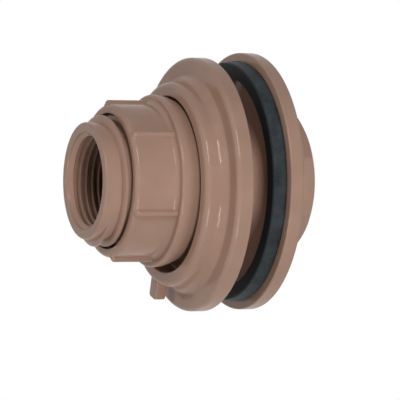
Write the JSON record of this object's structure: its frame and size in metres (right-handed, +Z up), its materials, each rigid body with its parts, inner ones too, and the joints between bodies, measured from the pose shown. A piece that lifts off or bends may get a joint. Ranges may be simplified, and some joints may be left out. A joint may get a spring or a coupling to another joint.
{
  "type": "tank connector",
  "caption": "Flanged plastic tank connector with a rubber gasket, a loose pressure flange and a ribbed clamp nut that squeeze a tank wall, and a threaded pipe outlet.",
  "frame": {"origin": "on the axis of the waterway, in the sealing face of the gasket that meets the tank wall", "axes": "as fixed through an upright tank wall: -Y out of the tank along the outlet, +Y into the tank, +Z up"},
  "size_m": [0.0709, 0.0613, 0.0712],
  "materials": {
    "brown_plastic": "injection-moulded polypropylene, satin gloss",
    "gasket_rubber": "moulded EPDM rubber, dull and a little dusty"
  },
  "bodies": {
    "connector_body": {"flanged_body": "brown_plastic", "sealing_gasket": "gasket_rubber"},
    "flange": {"pressure_flange": "brown_plastic"},
    "nut": {"clamp_nut": "brown_plastic"}
  },
  "joints": [
    {"name": "flange_travel", "type": "slide", "parent": "connector_body", "child": "flange", "axis": [0, -1, 0], "range_m": [-0.0064, 0.0096]},
    {"name": "nut_turn", "type": "hinge", "parent": "flange", "child": "nut", "pos_m": [0, -0.024, 0], "axis": [0, -1, 0], "range_deg": [-720, 1080]}
  ],
  "couplings": [
    {"joint": "nut_turn", "follows": "flange_travel", "rad_per_m": 1963.5}
  ]
}
